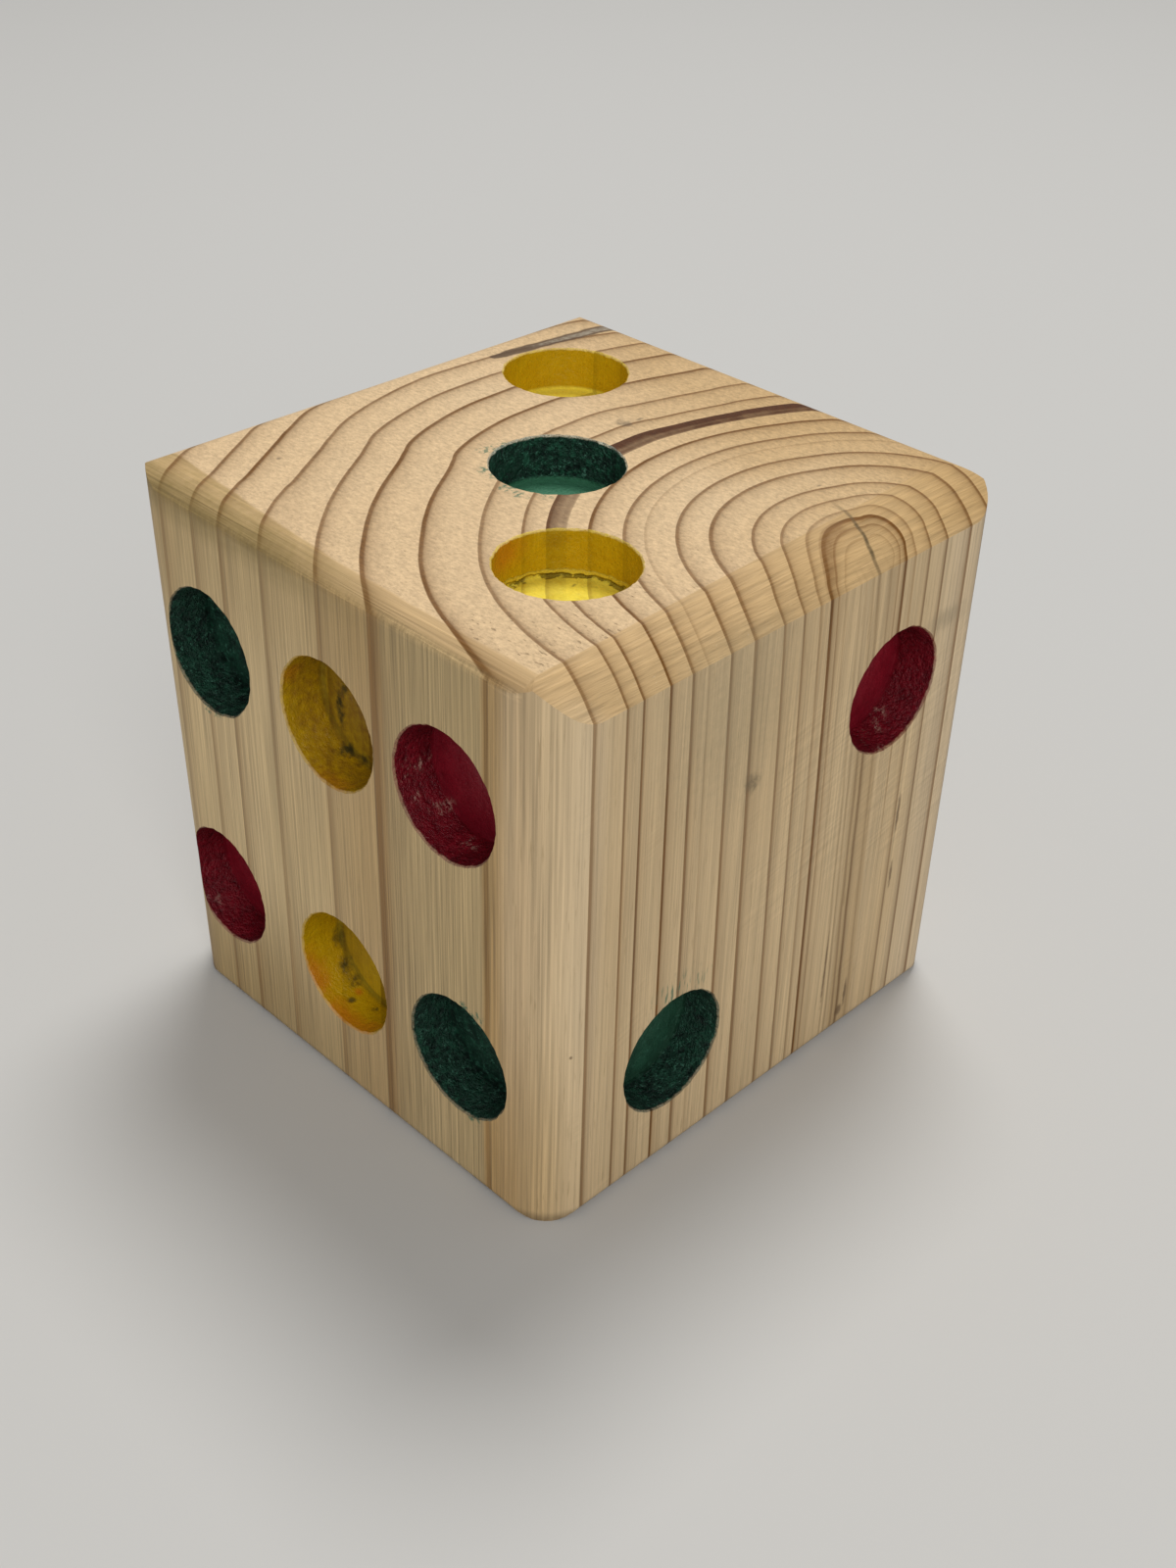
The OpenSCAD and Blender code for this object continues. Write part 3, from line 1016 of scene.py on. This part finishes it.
def loose_lip(p):
    """The front right pip of the top has a lip of loose paint round the foot of its wall, with a painted
    shadow under it and a painted highlight on it.
    """
    # under is a painted shadow below the lip; loose is the lip's paler paint with a painted highlight
    under = (0.12, 0.07, 0.006)
    loose = (0.88, 0.68, 0.06)
    g = p.g
    where = g.spot((20.5, -20.0, 82.0), (12, 12, 9), soft=0.1) * g.rise(p.from_axis, 8.8, 9.2)
    foot = p.pip_z + PIP_DEPTH + p.blot * 0.6
    gap_shadow = g.band(foot, 0.2, 0.35, 0.15) * where * g.rise(p.blot, -0.4, 0.1)
    lip = g.band(foot, 0.65, 0.95, 0.25) * where
    p.layer(gap_shadow * 0.7, under)
    p.layer(lip * 0.6, loose)
    p.height = p.height + lip * 0.25 - gap_shadow * 0.2


def paint_yellow(wood):
    """Thin and clear, with painted light making the floors of the top's pips bright, and dirty in the upper
    front one.
    """
    deep = (0.52, 0.32, 0.0012)
    full = (0.72, 0.50, 0.002)
    lemon = (0.98, 0.82, 0.09)
    amber = (0.84, 0.58, 0.02)
    orange = (0.60, 0.21, 0.006)
    dirty = (0.17, 0.059, 0.010)
    dark = (0.03, 0.032, 0.012)
    p = Paint("paint_yellow", wood, deep, full, blots=0.3, cover=0.68, grit=0.10)
    g = p.g
    # painted light: a brighter yellow over the floors, strongest in the top's pips
    bright = g.mix(g.clamp(p.speck * 0.4 + p.blot * 0.3 + 0.15), lemon, amber)
    p.layer(p.floor * (p.on_top * 0.8 + 0.15), bright)

    # rings show through the thin paint of the floors; over plain wood it keeps its colour
    plain_wood = (0.72, 0.52, 0.30)
    through = g.scaled(p.bare, tuple(1 / c for c in plain_wood))
    p.layer(p.floor * 0.5, g.mix(1.0, p.colour, through, "MULTIPLY"))
    loose_lip(p)

    for at, reach, amount in ORANGE_SPOTS:
        p.layer(g.spot(at, reach, soft=0.9, ragged=0.2) * amount, orange)
    for at, reach, amount in DIRTY_SPOTS:
        p.layer(g.spot(at, reach, soft=0.9) * amount, dirty)
    broken = g.rise(g.noise(1.6, (1, 1, 2), detail=3, rough=0.65, shift=41.0), -0.5, 0.2)
    for at, reach, amount in DARK_SPOTS:
        p.layer(g.spot(at, reach, soft=0.8, ragged=0.5) * broken * amount, dark)
    return p.finish(rim=(0.86, 0.64, 0.06), rough=0.38, gloss=0.1)


# Where the red paint is missing: middle and reach
BARE_SPOTS = (
    ((14.5, -41.9, 63.0), (1.6, 2.2, 2.0)),
    ((14.5, -39.8, 63.6), (1.4, 2.0, 2.2)),
    ((15.8, -42.1, 59.6), (1.0, 1.4, 1.6)),
    ((17.6, -40.1, 57.5), (1.3, 1.6, 1.6)),
    ((17.9, -38.3, 57.3), (1.0, 1.4, 1.4)),
    ((24.0, -40.2, 55.1), (2.6, 1.8, 1.0)),
    ((39.3, 25.2, 52.0), (1.6, 3.6, 1.2)),
    ((38.4, 27.4, 53.0), (1.4, 1.6, 1.4)),
    ((42.8, 21.7, 51.6), (1.0, 1.8, 0.8)),
    ((40.4, 20.9, 51.7), (1.2, 1.8, 0.8)),
    ((-34.0, -43.0, 14.6), (2.0, 2.0, 1.6)),
)


def paint_red(wood):
    """Speckled towards the rims, with bare patches and painted light on the floors."""
    deep = (0.085, 0.0012, 0.005)
    full = (0.285, 0.005, 0.017)
    speckled = (0.50, 0.11, 0.13)
    worn = (0.48, 0.28, 0.22)
    dull_floor = (0.215, 0.005, 0.015)
    bright_floor = (0.33, 0.010, 0.026)
    p = Paint("paint_red", wood, deep, full, blots=0.5, cover=0.995, grit=0.22)
    g = p.g
    # painted light: the floors are laid over with a lighter red than the walls
    blotted = g.clamp(p.blot * 0.6 + p.speck * 0.3 + 0.4)
    p.layer(p.floor * 0.7, g.mix(blotted, dull_floor, bright_floor))
    speckle = g.rise(p.noise(0.5, detail=2, shift=9.0), 0.35, 0.7) * g.rise(p.pip_z, -5.0, -0.5)
    p.layer(speckle * 0.5, speckled)
    broken = g.rise(g.noise(1.0, (1, 1, 2), detail=3, rough=0.75, shift=51.0), 0.0, 0.4)
    for at, reach in BARE_SPOTS:
        p.layer(g.spot(at, reach, soft=0.8, ragged=0.5) * broken * 0.7, worn)
    return p.finish(rim=(0.60, 0.36, 0.28), rough=0.40, gloss=0.1)


def die_materials():
    """The die's materials, in the order of its slots."""
    wood = wood_group()
    return [make(wood) for make in (pine, paint_green, paint_yellow, paint_red)]


# ---------------------------------------------------------------- floor, light and camera, in metres

# The floor reaches this far each way
FLOOR_REACH = 6.0
FLOOR_COLOUR = (0.60, 0.59, 0.565, 1)
WORLD_STRENGTH = 0.28
CAMERA_PLACE = (0.17175, -0.17010, 0.20017)
# The camera's azimuth, elevation and roll, in degrees
CAMERA_TURN = (44.28, 34.52, 1.74)
CAMERA_LENS = 43.38


def make_floor():
    """A plain pale floor under the block."""
    bm = bmesh.new()
    bmesh.ops.create_grid(bm, x_segments=1, y_segments=1, size=FLOOR_REACH)
    mesh = bpy.data.meshes.new("floor")
    bm.to_mesh(mesh)
    bm.free()
    floor = linked("floor", mesh)
    material = new_material("floor")
    shader = material.node_tree.nodes["Principled BSDF"]
    shader.inputs["Base Color"].default_value = FLOOR_COLOUR
    shader.inputs["Roughness"].default_value = 0.8
    shader.inputs["Specular IOR Level"].default_value = 0.2
    mesh.materials.append(material)
    floor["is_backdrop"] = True


def make_lamp(name, place, size, power):
    """A round lamp that looks at the origin."""
    lamp = bpy.data.lights.new(name, "AREA")
    lamp.shape = "DISK"
    lamp.size = size
    lamp.energy = power
    obj = linked(name, lamp)
    obj.location = place
    obj.rotation_euler = Vector(place).to_track_quat("Z", "Y").to_euler()


def make_world():
    """Plain white light from all round."""
    world = bpy.data.worlds.new("studio")
    bpy.context.scene.world = world
    world.use_nodes = True
    background = world.node_tree.nodes["Background"]
    background.inputs["Color"].default_value = (1.0, 1.0, 1.0, 1)
    background.inputs["Strength"].default_value = WORLD_STRENGTH


def make_camera():
    """The camera at the photograph's viewing angle."""
    azimuth, elevation, roll = (math.radians(a) for a in CAMERA_TURN)
    back = Vector((math.sin(azimuth) * math.cos(elevation), -math.cos(azimuth) * math.cos(elevation),
                   math.sin(elevation)))
    level = Vector((math.cos(azimuth), math.sin(azimuth), 0))
    up = back.cross(level)
    right = level * math.cos(roll) + up * math.sin(roll)
    up = up * math.cos(roll) - level * math.sin(roll)
    camera = bpy.data.cameras.new("camera")
    camera.sensor_fit = "VERTICAL"
    camera.sensor_height = 36
    camera.lens = CAMERA_LENS
    obj = linked("camera", camera)
    turned = Matrix((right, up, back)).transposed().to_4x4()
    obj.matrix_world = Matrix.Translation(CAMERA_PLACE) @ turned
    bpy.context.scene.camera = obj


die = make_die(die_materials())
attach(die, "root")
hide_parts("block")
make_floor()
make_world()
make_lamp("key", place=(-0.31, 0.52, 1.44), size=0.6, power=13.4)
make_lamp("fill", place=(0.96, -0.74, 0.95), size=0.9, power=8.4)
make_camera()
bpy.context.scene.view_settings.view_transform = "Standard"

boxes = {"cad": CAD_BOX, "visual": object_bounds()}
{name: [list(corner) for corner in box] for name, box in boxes.items()}
